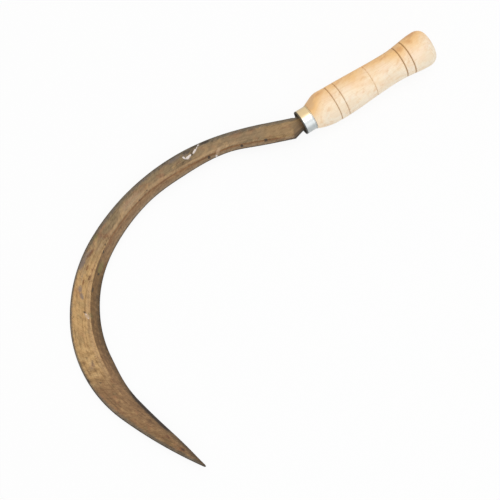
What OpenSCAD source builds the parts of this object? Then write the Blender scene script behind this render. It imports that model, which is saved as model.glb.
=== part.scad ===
// Hand sickle: a forged hooked blade whose tang is driven into a turned wooden handle,
// with a short metal ferrule round the handle's nose.
//
// The tool's own axes: X along the handle's axis towards the blade, Y towards the inside
// of the hook, Z up and square to the blade. Distances along the handle are counted from
// the ferrule's front rim. The blade's own distance is counted along its back, from the
// heel to the tip. The finished tool is turned a little, so that it lies as it does on a
// bench, and the origin is the middle of the grip.

/* [Handle] */
// Length from the ferrule's front rim to the face of the pommel
handle_len = 145; // [130:1:180]
// How far the wood stands proud of the ferrule behind it, on the radius
shoulder_step = 0.4; // [0.2:0.1:1.5]
// Length of the round shoulder from the ferrule to the swell
shoulder_len = 17; // [8:1:22]
// Diameter of the swell in front of the hand
swell_d = 35; // [32:0.5:42]
// Length of the swell's straight stretch
swell_len = 8; // [2:1:12]
// Diameter of the waist
waist_d = 30.5; // [27:0.5:34]
// Length from the waist to the widest place of the pommel
flare_len = 35; // [20:1:40]
// Largest diameter of the pommel
pommel_d = 36.5; // [32:0.5:44]
// Length of the pommel's rounded end
pommel_round = 9; // [4:0.5:12]
// Diameter of the flat face on the pommel
pommel_face_d = 23; // [12:0.5:28]

/* [Grooves] */
// Width of a burnt groove
groove_w = 1.2; // [0.6:0.1:2]
// Distance from the end of the swell to the middle of the front pair
front_pair_from_swell = 3.4; // [-2:0.1:12]
// Distance from the pommel's face to the middle of the rear pair
rear_pair_from_face = 29.6; // [20:0.1:34]
// Distance between the two grooves of a pair
pair_gap = 8.6; // [5:0.1:12]
// Share of the way from the front pair to the rear pair at which the middle groove is
middle_share = 0.49; // [0.4:0.01:0.6]

/* [Ferrule] */
// Outer diameter of the ferrule
ferrule_d = 24.2; // [20:0.1:29]
// Length of the ferrule
ferrule_len = 11.7; // [8:0.1:16]
// Wall of the ferrule
ferrule_wall = 1; // [0.6:0.1:1.4]
// Diameter of the bead rolled round the rear edge
bead_d = 0.9; // [0.4:0.1:1.2]
// How far the wooden nose stops short of the ferrule's rim
nose_setback = 2; // [0.5:0.1:3]

/* [Tang] */
// Length of the tang behind the ferrule's rim
tang_len = 85; // [50:1:105]
// Width of the tang at the ferrule's mouth
tang_w = 15; // [10:0.1:18]
// Width of the tang at its hidden end
tang_end_w = 4.5; // [3:0.1:8]
// Thickness of the tang at its hidden end
tang_end_t = 2.4; // [1.5:0.1:3]
// Chamfer along the tang's edges
tang_chamfer = 0.6; // [0.2:0.1:0.7]
// How far the tang's straight sides show in front of the ferrule
neck_len = 2.2; // [1:0.1:6]
// How far the back of the blade stands proud of the tang's side
back_step = 0.5; // [0:0.1:2]
// Diameter of the pilot hole drilled before the tang is driven in
pilot_d = 6; // [5.5:0.1:7.5]
// How far the pilot hole runs past the tang's end
pilot_spare = 6; // [1:0.5:15]

/* [Back of the blade] */
// Direction in which the back leaves the handle, degrees off the axis
heel_heading = -21.4; // [-26:0.1:-15]
// Straight run behind the heel
heel_run = 30; // [15:1:45]
// Radius of the arm
arm_r = 328; // [250:1:400]
// Turn of the arm, degrees
arm_turn = 6.9; // [4:0.1:10]
// Radius of the shoulder that leads into the hook
hook_r = 215; // [175:1:260]
// Turn of that shoulder, degrees
hook_turn = 42.9; // [35:0.1:47]
// Radius of the belly's first half
belly_in_r = 142; // [120:1:175]
// Turn of the belly's first half, degrees
belly_in_turn = 35.4; // [29:0.1:42]
// Radius of the belly's second half
belly_out_r = 120; // [98:1:142]
// Turn of the belly's second half, degrees
belly_out_turn = 48.8; // [41:0.1:55]
// Radius of the last run to the tip
point_r = 430; // [250:5:600]
// Turn of the last run to the tip, degrees
point_turn = 11.7; // [8:0.1:15]

/* [Widths of the blade] */
// Width at the heel
heel_w = 20.3; // [17:0.1:24.5]
// Width at the narrowest place of the arm
arm_w = 18.4; // [15:0.1:22.5]
// Width where the arm turns into the hook
hook_w = 21.3; // [17.5:0.1:26]
// Width where the belly starts
belly_in_w = 25.1; // [20.5:0.1:30.5]
// Width at the widest place of the belly
belly_w = 29.8; // [24.5:0.1:36]
// Width a fifth of the back's length before the tip
point_in_w = 25.4; // [20.5:0.1:30.5]
// Width a tenth of the back's length before the tip
point_w = 16.5; // [13:0.1:20]
// Width a twentieth of the back's length before the tip
point_out_w = 10.4; // [8.5:0.1:12.5]
// Width of the blunt end at the tip
tip_w = 1.6; // [0.6:0.1:2.4]

/* [Rest] */
// Share of the back's length at which it touches the bench, under the tool's balance
touch_share = 0.62; // [0.56:0.01:0.68]

/* [Section of the blade] */
// Thickness of the back from the heel to the belly
blade_t = 3; // [2:0.1:4]
// Thickness of the back at the belly
belly_t = 2.8; // [1.8:0.1:3.6]
// Thickness of the back at the tip
tip_t = 1.2; // [0.8:0.1:1.8]
// Thickness left at the heel's inner corner
heel_edge_t = 2.5; // [1.4:0.1:3]
// Thickness left on the cutting edge
edge_t = 0.5; // [0.3:0.1:0.7]
// Width of the bevel at the heel
heel_bevel = 0.6; // [0.3:0.1:1.5]
// Width of the bevel along the arm
arm_bevel = 4.3; // [3:0.1:6]
// Width of the bevel along the hook's first half
hook_bevel = 7.1; // [5:0.1:9]
// Width of the bevel along the belly
belly_bevel = 8.4; // [6:0.1:11]
// Rounding of the back's two corners
back_round = 0.7; // [0.3:0.1:0.9]

/* [Fits] */
// Gap between the wooden nose and the ferrule's bore, on the radius
nose_fit = 0.1; // [0.05:0.05:0.3]
// Gap between the tang and its socket, all round
socket_fit = 0.15; // [0.05:0.05:0.3]
// Gap between the ferrule and the handle's shoulder
seat_fit = 0.1; // [0.05:0.05:0.3]

/* [Hidden] */

$fn = 96;

// Handle: where each stretch of its outline ends, from the ferrule's rim
swell_from = ferrule_len + shoulder_len;
fall_from = swell_from + swell_len;
pommel_at = handle_len - pommel_round;
waist_at = pommel_at - flare_len;
// Middle of the grip, which is the origin
grip_at = (ferrule_len + handle_len) / 2;
// Nose of the handle in the ferrule's bore, and the shoulder behind it
bore_r = ferrule_d / 2 - ferrule_wall;
nose_r = bore_r - nose_fit;
nose_chamfer = 0.5;
shoulder_d = ferrule_d + 2 * shoulder_step;
// Grooves: two, one and two, each cut by a round edge that stays a little proud of the wood
front_pair_at = fall_from + front_pair_from_swell;
rear_pair_at = handle_len - rear_pair_from_face;
groove_proud = groove_w / 10;
GROOVES = [
    front_pair_at - pair_gap / 2,
    front_pair_at + pair_gap / 2,
    front_pair_at + (rear_pair_at - front_pair_at) * middle_share,
    rear_pair_at - pair_gap / 2,
    rear_pair_at + pair_gap / 2,
];

// Back of the blade: one straight run and five tangent arcs, each [length, turn]
function arc_len(r, turn) = r * turn * PI / 180;
RUNS = [
    [heel_run, 0],
    [arc_len(arm_r, arm_turn), arm_turn],
    [arc_len(hook_r, hook_turn), hook_turn],
    [arc_len(belly_in_r, belly_in_turn), belly_in_turn],
    [arc_len(belly_out_r, belly_out_turn), belly_out_turn],
    [arc_len(point_r, point_turn), point_turn],
];
function total(list, i = 0) = i < len(list) ? list[i][0] + total(list, i + 1) : 0;
back_len = total(RUNS);

// Place and heading [x, y, heading] at distance d along a run that starts at p
function along(p, run, d) =
    run[1] == 0
    ? [p.x + d * cos(p.z), p.y + d * sin(p.z), p.z]
    : let (r = run[0] * 180 / (PI * run[1]), h = p.z + run[1] * d / run[0])
      [p.x + r * (sin(h) - sin(p.z)), p.y + r * (cos(p.z) - cos(h)), h];
function run_start(i) =
    i == 0
    ? [neck_len, -tang_w / 2 - back_step, heel_heading]
    : along(run_start(i - 1), RUNS[i - 1], RUNS[i - 1][0]);
STARTS = [for (i = [0 : len(RUNS) - 1]) run_start(i)];
// Place and heading on the back at distance s from the heel
function back_at(s, i = 0, before = 0) =
    i == len(RUNS) - 1 || s <= before + RUNS[i][0]
    ? along(STARTS[i], RUNS[i], s - before)
    : back_at(s, i + 1, before + RUNS[i][0]);

// Smooth curve through a list of [share of the back, value], by cubics with matched slopes
function slope(t, i) =
    let (a = max(i - 1, 0), b = min(i + 1, len(t) - 1))
    (t[b][1] - t[a][1]) / (t[b][0] - t[a][0]);
function smooth(t, u, i = 0) =
    i < len(t) - 2 && u > t[i + 1][0]
    ? smooth(t, u, i + 1)
    : let (
        h = t[i + 1][0] - t[i][0],
        q = (u - t[i][0]) / h,
        q2 = q * q,
        q3 = q2 * q
      )
      (2 * q3 - 3 * q2 + 1) * t[i][1] + (q3 - 2 * q2 + q) * h * slope(t, i)
      + (3 * q2 - 2 * q3) * t[i + 1][1] + (q3 - q2) * h * slope(t, i + 1);

// How the section changes from the heel, 0, to the tip, 1
WIDTH = [
    [0, heel_w], [0.07, heel_w], [0.135, arm_w], [0.24, hook_w], [0.33, hook_w],
    [0.5, belly_in_w], [0.715, belly_w], [0.8, point_in_w], [0.9, point_w],
    [0.95, point_out_w], [1, tip_w],
];
THICKNESS = [[0, blade_t], [0.7, belly_t], [1, tip_t]];
BEVEL = [
    [0, heel_bevel], [0.06, arm_bevel], [0.165, arm_bevel], [0.3, hook_bevel],
    [0.55, belly_bevel], [1, belly_bevel],
];
EDGE = [
    [0, heel_edge_t], [0.05, edge_t + (heel_edge_t - edge_t) / 5], [0.1, edge_t],
    [1, edge_t],
];
// Largest share of the width that the bevel takes, and of the thickness that the edge takes
BEVEL_SHARE = 0.42;
EDGE_SHARE = 0.8;
function width_at(s) = max(smooth(WIDTH, s / back_len), tip_w);
function thick_at(s) = smooth(THICKNESS, s / back_len);
function bevel_at(s) = min(smooth(BEVEL, s / back_len), BEVEL_SHARE * width_at(s));
function edge_at(s) = min(smooth(EDGE, s / back_len), EDGE_SHARE * thick_at(s));

// Ring of a section that stands upright on the back at p, w wide and t thick from z up
function ring(p, w, t, bevel, edge, z) =
    let (r = min(back_round, w / 4, t / 3), k = r * (1 - sqrt(0.5)))
    [for (q = [
        [r, 0], [w, 0], [w, edge], [w - bevel, t], [r, t],
        [k, t - k], [0, t - r], [0, r], [k, k],
    ])
        [p.x - q.x * sin(p.z), p.y + q.x * cos(p.z), z + q.y]];

// How far a cut runs out past the face that it opens
cut_past = 1;

// Rings of the tang from its hidden end to its neck, grown all round by a gap
TANG_RINGS = 4;
function tang_ring(i, gap, from, to) =
    let (
        x = from + (to - from) * i / TANG_RINGS,
        u = (x + tang_len) / tang_len,
        w = min(tang_end_w + (tang_w - tang_end_w) * u, tang_w) + 2 * gap,
        t = min(tang_end_t + (blade_t - tang_end_t) * u, blade_t) + 2 * gap
    )
    ring([x, -w / 2, 0], w, t, tang_chamfer, t - tang_chamfer, -t / 2);

// Rings of the blade, with the first at the heel's inner corner
HEEL_AT = 2.2;
BLADE_RINGS = 124;
function blade_ring(i) =
    let (s = HEEL_AT + (back_len - HEEL_AT) * i / BLADE_RINGS)
    ring(back_at(s), width_at(s), thick_at(s), bevel_at(s), edge_at(s), -blade_t / 2);

// Closed solid through rings of as many points each, as triangles
module loft(rings) {
    n = len(rings[0]);
    last = len(rings) - 1;
    polyhedron(
        points = [for (r = rings) each r],
        faces = [
            [for (j = [0 : n - 1]) j],
            for (i = [0 : last - 1], j = [0 : n - 1]) each
                let (a = i * n + j, b = i * n + (j + 1) % n)
                [[a, a + n, b], [b, a + n, b + n]],
            [for (j = [0 : n - 1]) last * n + n - 1 - j],
        ],
        convexity = 8
    );
}

// How the tool lies: its swell and the back of its belly touch the bench
touch_at = touch_share * back_len;
touch = back_at(touch_at);
reach = (touch.x + swell_from) * sin(touch.z) - touch.y * cos(touch.z);
lie = asin((swell_d - blade_t) / 2 / reach);

module laid() {
    rotate(a = lie, v = [cos(touch.z), sin(touch.z), 0])
        translate([grip_at, 0, 0])
            children();
}

// Turned bodies have their axis along the handle, and z counts from the ferrule's rim
module turned() {
    rotate([0, -90, 0])
        children();
}

// Radius of the wood at distance z from the ferrule's rim
function handle_r(z) =
    z < swell_from ? (shoulder_d + (swell_d - shoulder_d) * sin(90 * (z - ferrule_len) / shoulder_len)) / 2
    : z < fall_from ? swell_d / 2
    : z < waist_at ? blend(swell_d, waist_d, (z - fall_from) / (waist_at - fall_from)) / 2
    : blend(waist_d, pommel_d, (z - waist_at) / flare_len) / 2;
// Half a cosine wave from a to b as u runs from 0 to 1
function blend(a, b, u) = a + (b - a) * (1 - cos(180 * u)) / 2;
// Point of the wood's outline at distance z from the ferrule's rim
function wood_at(z) = [handle_r(z), z];
// Point of the pommel's rounded end, from its widest place at 0 to its face at 90 degrees
function pommel_end(a) = [
    pommel_d / 2 - (pommel_d - pommel_face_d) / 2 * (1 - cos(a)),
    pommel_at + pommel_round * sin(a),
];

module handle_outline() {
    nose_from = nose_setback;
    nose_to = ferrule_len + seat_fit;
    polygon([
        [0, nose_from],
        [nose_r - nose_chamfer, nose_from],
        [nose_r, nose_from + nose_chamfer],
        [nose_r, nose_to],
        [shoulder_d / 2, nose_to],
        for (i = [1 : 8]) wood_at(ferrule_len + shoulder_len * i / 8),
        for (i = [0 : 16]) wood_at(fall_from + (waist_at - fall_from) * i / 16),
        for (i = [1 : 12]) wood_at(waist_at + flare_len * i / 12),
        for (a = [15 : 15 : 90]) pommel_end(a),
        [0, handle_len],
    ]);
}

module handle() {
    color("#e9cfa3") laid() difference() {
        turned() rotate_extrude() handle_outline();
        for (z = GROOVES)
            turned() rotate_extrude() translate([handle_r(z) + groove_proud, z])
                circle(d = groove_w, $fn = 24);
        loft([
            for (i = [0 : TANG_RINGS])
                tang_ring(i, socket_fit, -tang_len, -nose_setback + cut_past)
        ]);
        turned() cylinder(d = pilot_d, h = tang_len + pilot_spare);
    }
}

module ferrule() {
    color("#d7dadb") laid() turned() rotate_extrude() {
        translate([bore_r + ferrule_wall / 2, ferrule_wall / 2])
            circle(d = ferrule_wall, $fn = 32);
        translate([bore_r, ferrule_wall / 2])
            square([ferrule_wall, ferrule_len - ferrule_wall / 2]);
        translate([ferrule_d / 2, ferrule_len - bead_d / 2])
            circle(d = bead_d, $fn = 32);
    }
}

module blade() {
    color("#9a7b53") laid() loft([
        for (i = [0 : TANG_RINGS]) tang_ring(i, 0, -tang_len, neck_len),
        for (i = [0 : BLADE_RINGS]) blade_ring(i),
    ]);
}

blade();
ferrule();
handle();
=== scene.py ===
"""Looks of a hand sickle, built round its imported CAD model.

The tool has three pieces: a forged hooked blade with its tang, a short metal ferrule and a
turned wooden handle. Each is a class that holds its sizes in millimetres, in the tool's own
axes: X along the handle towards the blade, Y towards the inside of the hook, Z up. The
bench pose then turns each mesh into the frame of the CAD model, in metres.

A finish is a ground colour under layers of tone. Each layer is laid where a field is
strong: either a field that the mesh carries, worked out from the shape, or a noise.
"""

import logging
import math
from dataclasses import dataclass, field
from enum import Enum

import bpy
import numpy as np
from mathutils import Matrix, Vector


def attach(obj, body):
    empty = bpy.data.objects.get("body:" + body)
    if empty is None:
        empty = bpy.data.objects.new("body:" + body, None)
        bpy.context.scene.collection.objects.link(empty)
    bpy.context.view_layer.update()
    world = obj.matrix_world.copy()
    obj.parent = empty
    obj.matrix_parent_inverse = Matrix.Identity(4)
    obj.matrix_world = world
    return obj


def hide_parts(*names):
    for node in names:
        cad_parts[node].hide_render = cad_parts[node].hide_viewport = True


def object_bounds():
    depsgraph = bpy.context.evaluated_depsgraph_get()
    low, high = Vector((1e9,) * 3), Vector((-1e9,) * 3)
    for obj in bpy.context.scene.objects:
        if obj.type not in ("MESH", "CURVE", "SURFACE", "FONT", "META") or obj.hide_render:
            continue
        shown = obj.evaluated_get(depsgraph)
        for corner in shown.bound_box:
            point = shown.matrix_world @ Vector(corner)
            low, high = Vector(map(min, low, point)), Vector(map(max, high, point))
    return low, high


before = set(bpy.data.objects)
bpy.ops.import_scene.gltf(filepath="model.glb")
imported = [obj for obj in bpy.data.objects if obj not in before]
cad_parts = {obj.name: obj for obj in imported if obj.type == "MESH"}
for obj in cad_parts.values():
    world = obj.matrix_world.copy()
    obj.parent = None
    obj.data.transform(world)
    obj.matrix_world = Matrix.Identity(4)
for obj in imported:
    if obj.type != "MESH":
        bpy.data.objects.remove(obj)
CAD_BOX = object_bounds()

LOG = logging.getLogger("sickle")
BODY = "root"
MM = 0.001

Fields = dict[str, np.ndarray]
Span = tuple[float, float]
Table = tuple[tuple[float, float], ...]


# ---- curves and waves --------------------------------------------------------------------


def smooth_through(stations: np.ndarray, values: np.ndarray, at: np.ndarray) -> np.ndarray:
    """Smooth curve through a row of points.

    Between two stations it is the cubic that meets both values, with the slope at each
    station equal to the rise over the run between its two neighbours.

    Args:
        stations: Rising positions of the points.
        values: Value at each station.
        at: Positions where the curve is wanted.

    Returns:
        The curve's value at each position.
    """
    count = len(stations)
    before = np.maximum(np.arange(count) - 1, 0)
    after = np.minimum(np.arange(count) + 1, count - 1)
    slope = (values[after] - values[before]) / (stations[after] - stations[before])
    i = np.clip(np.searchsorted(stations, at, side="left") - 1, 0, count - 2)
    step = stations[i + 1] - stations[i]
    q = (at - stations[i]) / step
    return (
        (2 * q**3 - 3 * q**2 + 1) * values[i]
        + (q**3 - 2 * q**2 + q) * step * slope[i]
        + (3 * q**2 - 2 * q**3) * values[i + 1]
        + (q**3 - q**2) * step * slope[i + 1]
    )


def part_way(start: float, run: float, at: np.ndarray) -> np.ndarray:
    """Share of a run that lies behind a place: 0 before its start, 1 after its end."""
    return np.clip((at - start) / run, 0, 1)


def ease(low: float, high: float, at: np.ndarray) -> np.ndarray:
    """Goes from 0 at low to 1 at high as 3q^2 - 2q^3, and is flat outside."""
    q = part_way(low, high - low, at)
    return q * q * (3 - 2 * q)


def hump(middle: float, width: float, at: np.ndarray) -> np.ndarray:
    """Bell curve exp(-((at - middle) / width)^2)."""
    return np.exp(-(((at - middle) / width) ** 2))


def waves(
    u: np.ndarray, v: np.ndarray, shortest: float, longest: float, seed: int
) -> np.ndarray:
    """Irregular low waves over a surface, between -1 and 1.

    It is the sum of nine plane sine waves over the root of nine. Their directions, lengths
    and phases are drawn from a seeded generator.

    Args:
        u: First coordinate of each point, mm.
        v: Second coordinate of each point, mm.
        shortest: Shortest wavelength, mm.
        longest: Longest wavelength, mm.
        seed: Seed of the generator.

    Returns:
        Height of the waves at each point.
    """
    count = 9
    draw = np.random.default_rng(seed)
    total = np.zeros(np.broadcast(u, v).shape)
    for _ in range(count):
        turn, phase = draw.uniform(0, 2 * math.pi, 2)
        per_mm = 2 * math.pi / draw.uniform(shortest, longest)
        total += np.sin(per_mm * (u * math.cos(turn) + v * math.sin(turn)) + phase)
    return np.clip(total / math.sqrt(count), -1, 1)


# ---- finishes ----------------------------------------------------------------------------


def hex_to_linear(code: str) -> tuple[float, float, float, float]:
    """Turns an sRGB hex colour into the linear colour that a socket takes.

    Args:
        code: Colour such as "#b28f63".

    Returns:
        Red, green, blue and an alpha of 1, linear.
    """
    parts = (int(code[i : i + 2], 16) / 255 for i in (1, 3, 5))
    linear = (c / 12.92 if c <= 0.04045 else ((c + 0.055) / 1.055) ** 2.4 for c in parts)
    return (*linear, 1.0)


def add(
    tree: bpy.types.NodeTree,
    kind: str,
    inputs: dict[str | int, object] | None = None,
    **settings: object,
) -> bpy.types.Node:
    """Adds a node to a tree, with its settings, values and links.

    Args:
        tree: Node tree that takes the node.
        kind: Blender's name of the node.
        inputs: Value of each input in use, by its name or its number. A node stands for
            its first output in use, and a socket for itself.
        settings: Properties of the node itself.

    Returns:
        The new node.
    """
    node = tree.nodes.new(kind)
    for name, value in settings.items():
        setattr(node, name, value)
    sockets = [socket for socket in node.inputs if socket.enabled]
    for key, value in (inputs or {}).items():
        named = (socket for socket in sockets if socket.name == key)
        socket = sockets[key] if isinstance(key, int) else next(named)
        if isinstance(value, bpy.types.Node):
            value = next(output for output in value.outputs if output.enabled)
        if isinstance(value, bpy.types.NodeSocket):
            tree.links.new(value, socket)
        else:
            socket.default_value = value
    return node


def bare_tree(holder: bpy.types.Material | bpy.types.World) -> bpy.types.NodeTree:
    """Gives a material or a world an empty node tree.

    Args:
        holder: The material or the world.

    Returns:
        Its tree.
    """
    holder.use_nodes = True
    holder.node_tree.nodes.clear()
    return holder.node_tree


class Blend(Enum):
    """How a tone is laid over the ones below it."""

    COVER = "MIX"
    SHADE = "MULTIPLY"
    LIFT = "SCREEN"


@dataclass(frozen=True)
class Grain:
    """A noise whose features have a real size.

    Attributes:
        size: Rough size of a feature along the three coordinates, mm.
        turn: Angle of its length from the first coordinate, degrees.
        detail: How many finer octaves it has.
    """

    size: tuple[float, float, float]
    turn: float = 0.0
    detail: float = 2.0


@dataclass(frozen=True)
class Layer:
    """One tone, laid where a field is strong.

    Attributes:
        tone: Its colour, sRGB hex.
        field: Name of a field of the mesh or of a grain.
        low: Value of the field where the tone begins.
        high: Value where it is full; below low, the tone lies where the field is weak.
        strength: Cover where it is full.
        ragged: How much the finish's ragged grain shifts its border.
        blend: How it is laid.
    """

    tone: str
    field: str
    low: float = 0.0
    high: float = 1.0
    strength: float = 1.0
    ragged: float = 0.0
    blend: Blend = Blend.COVER


@dataclass(frozen=True)
class Finish:
    """A procedural finish: ground, layers of tone, sheen and relief.

    Attributes:
        name: What the material is and how it was made.
        coordinate: Name of the mesh's coordinate that the grains read, mm.
        ground: Colour below all layers, sRGB hex.
        grains: The noises by name.
        ragged: Name of the grain that tears the borders of layers.
        layers: Tones from the lowest to the highest.
        roughness: Roughness where no field changes it.
        rough_by: What each field adds to the roughness.
        metallic: Share of bare metal where no field changes it.
        metal_by: What each field adds to that share.
        relief_by: What each field adds to the height, as shares of the depth.
        depth: Depth of the relief, mm.
        coat: Weight of a thin clear coat.
        coat_roughness: Roughness of that coat.
        specular: Level of the mirrored light; 0.5 is that of the plain IOR.
    """

    name: str
    coordinate: str
    ground: str
    grains: dict[str, Grain]
    ragged: str
    layers: tuple[Layer, ...]
    roughness: float
    rough_by: dict[str, float]
    metallic: float
    metal_by: dict[str, float]
    relief_by: dict[str, float]
    depth: float
    coat: float = 0.0
    coat_roughness: float = 0.3
    specular: float = 0.5

    def fields(self, tree: bpy.types.NodeTree) -> dict[str, bpy.types.Node]:
        """Adds the nodes that give each field: the grains, and what the mesh carries.

        A grain is a noise on the coordinate, turned and divided by the feature's size.

        Args:
            tree: Node tree that takes the nodes.

        Returns:
            The node of each field by name.
        """
        place = add(tree, "ShaderNodeAttribute", attribute_name=self.coordinate)
        found = {}
        for name, grain in self.grains.items():
            fitted = add(
                tree,
                "ShaderNodeMapping",
                {
                    "Vector": place.outputs["Vector"],
                    "Rotation": (0.0, 0.0, math.radians(grain.turn)),
                    "Scale": grain.size,
                },
                vector_type="TEXTURE",
            )
            made = {"Vector": fitted, "Scale": 1.0, "Detail": grain.detail}
            found[name] = add(tree, "ShaderNodeTexNoise", made)
        used = {layer.field for layer in self.layers}
        for name in sorted(used | {*self.rough_by, *self.metal_by, *self.relief_by}):
            if name not in found:
                held = add(tree, "ShaderNodeAttribute", attribute_name=name)
                found[name] = held.outputs["Fac"]
        return found

    def total(
        self,
        tree: bpy.types.NodeTree,
        start: float,
        shares: dict[str, float],
        found: dict[str, bpy.types.Node],
    ) -> float | bpy.types.Node:
        """Adds up a number and a share of each named field.

        Args:
            tree: Node tree that takes the nodes.
            start: The number.
            shares: Factor of each field.
            found: Node of each field.

        Returns:
            The number itself where there are no shares, else the last node.
        """
        value = start
        for name, share in shares.items():
            inputs = {0: found[name], 1: share, 2: value}
            value = add(tree, "ShaderNodeMath", inputs, operation="MULTIPLY_ADD")
        return value

    def build(self) -> bpy.types.Material:
        """Builds the material.

        A layer's cover is the smooth step from low to high of its field plus the ragged
        grain's share, times its strength.

        Returns:
            The material.
        """
        material = bpy.data.materials.new(self.name)
        tree = bare_tree(material)
        found = self.fields(tree)
        colour = hex_to_linear(self.ground)
        for layer in self.layers:
            strong = found[layer.field]
            if layer.ragged:
                shaken = {0: found[self.ragged], 1: layer.ragged, 2: strong}
                strong = add(tree, "ShaderNodeMath", shaken, operation="MULTIPLY_ADD")
                centred = {0: strong, 1: 0.5 * layer.ragged}
                strong = add(tree, "ShaderNodeMath", centred, operation="SUBTRACT")
            step = {"Value": strong, "From Min": layer.low, "From Max": layer.high}
            step["To Max"] = layer.strength
            cover = add(tree, "ShaderNodeMapRange", step, interpolation_type="SMOOTHSTEP")
            mix = {"Factor": cover, "A": colour, "B": hex_to_linear(layer.tone)}
            blend = layer.blend.value
            colour = add(tree, "ShaderNodeMix", mix, data_type="RGBA", blend_type=blend)
        height = self.total(tree, 0.0, self.relief_by, found)
        relief = {"Height": height, "Strength": 1.0, "Distance": self.depth * MM}
        bump = add(tree, "ShaderNodeBump", relief)
        skin = {
            "Base Color": colour,
            "Roughness": self.total(tree, self.roughness, self.rough_by, found),
            "Metallic": self.total(tree, self.metallic, self.metal_by, found),
            "Coat Weight": self.coat,
            "Coat Roughness": self.coat_roughness,
            "Specular IOR Level": self.specular,
            "Normal": bump,
        }
        shader = add(tree, "ShaderNodeBsdfPrincipled", skin)
        add(tree, "ShaderNodeOutputMaterial", {"Surface": shader})
        return material


# Forged carbon steel under a thin golden-brown lacquer. The fire leaves a dull, blotchy
# scale, and the lacquer over it is ochre where it lies thick and olive where it is thin.
# The bevel is ground, with fine scratches across and a crisp line to the face. It is
# darker partly as ground steel and partly as painted shade, since it tilts away from the
# light.
# A dielectric with a little metal showing through, since scale hides most of the steel.
LACQUERED_FORGED_STEEL = Finish(
    name="lacquered_forged_steel",
    coordinate="strip",
    ground="#8b7555",
    grains={
        # Streaks along the blade, from drawing it out under the hammer
        "hair": Grain((13.0, 0.6, 1.0), detail=3.0),
        "streak": Grain((34.0, 1.9, 1.0)),
        # Fine cross scratches from the finishing belt
        "belt": Grain((6.0, 0.5, 1.0), turn=42.0),
        # Blotches of scale, drawn at the size at which they show
        "cloud": Grain((12.0, 6.5, 2.0), detail=4.0),
        "bloom": Grain((8.0, 5.0, 2.0), turn=30.0, detail=3.0),
        "fleck": Grain((4.4, 2.2, 1.0), turn=10.0),
        "grit": Grain((1.4, 1.0, 0.8), detail=3.0),
        # Grinding lines across the bevel
        "grind": Grain((0.5, 5.0, 1.0), turn=8.0),
    },
    ragged="grit",
    layers=(
        Layer("#c19a65", "belly"),
        Layer("#8c6a45", "point"),
        Layer("#795b35", "tip", strength=0.8),
        Layer("#9c7d50", "heel", strength=0.85),
        Layer("#975c3b", "cloud", 0.5, 0.68, 0.38),
        Layer("#756b49", "bloom", 0.51, 0.68, 0.27),
        Layer("#cfa873", "bloom", 0.47, 0.28, 0.4),
        Layer("#7d6036", "dapple", 0.1, 0.75, 0.4, 0.6),
        Layer("#d3b27e", "dapple", -0.1, -0.7, 0.34, 0.6),
        # Painted shade: a dark band along the rounded back, where the face turns down to it
        Layer("#675e50", "band", 0.2, 0.8, 0.82, 0.7),
        # Painted highlight: a light band just above the ridge
        Layer("#b5936b", "glow", 0.1, 0.9, 0.62, 0.3),
        # The bevels: darker partly as ground steel and partly as painted shade
        Layer("#846645", "bevel"),
        Layer("#6f512a", "bevel_belly"),
        Layer("#896743", "bevel_point", strength=0.9),
        Layer("#7d5024", "streak_line", 0.15, 0.8, 0.58, 0.3),
        Layer("#8d7a62", "worn_edge", 0.1, 0.9, 0.6, 0.3),
        Layer("#44351f", "low", 0.0, 1.0, 0.64, 0.3),
        # Painted shadow of the ferrule on the neck, with dirt
        Layer("#3d301f", "neck", 0.0, 1.0, 0.85, 0.3),
        Layer("#8f7f6b", "hair", 0.52, 0.72, 0.2, blend=Blend.SHADE),
        Layer("#98886f", "streak", 0.5, 0.7, 0.42, blend=Blend.SHADE),
        Layer("#5a4630", "hair", 0.48, 0.3, 0.36, blend=Blend.LIFT),
        Layer("#93784f", "fleck", 0.5, 0.72, 0.34, blend=Blend.SHADE),
        Layer("#6b5238", "fleck", 0.48, 0.3, 0.45, blend=Blend.LIFT),
        Layer("#94836e", "belt", 0.5, 0.68, 0.42, blend=Blend.SHADE),
        Layer("#8c7a66", "grit", 0.55, 0.75, 0.25, blend=Blend.SHADE),
        Layer("#8c7354", "calm", strength=0.42),
        Layer("#261a0f", "keen", 0.2, 0.75, 0.93, 0.4),
        # Painted shade: a dark line along the back edge
        Layer("#2c261d", "back_line", 0.15, 0.8, 0.9, 0.3),
        Layer("#2e261d", "rim", 0.2, 0.9, 0.75, 0.4),
        Layer("#6c5a40", "under", strength=0.5),
        Layer("#6d6a37", "olive", 0.3, 0.9, 0.6, 0.8),
        Layer("#6e6361", "stain", 0.3, 0.9, 0.66, 0.8),
        Layer("#683d1c", "rust", 0.3, 0.85, 0.72, 0.8),
        Layer("#2f2822", "soot", 0.3, 0.8, 0.85, 0.6),
        Layer("#bfa283", "scuff", 0.2, 0.9, 0.8, 0.5),
        Layer("#d0c6c1", "bare", 0.4, 0.64, 0.88, 0.55),
    ),
    roughness=0.56,
    rough_by={"hair": -0.14, "soot": 0.12, "bare": -0.15},
    metallic=0.12,
    metal_by={"bare": 0.4},
    relief_by={"grit": 0.35, "fleck": 0.5, "hair": 0.35, "bare": -0.5, "grind": 0.15},
    depth=0.09,
    coat=0.06,
    specular=0.3,
)
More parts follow.
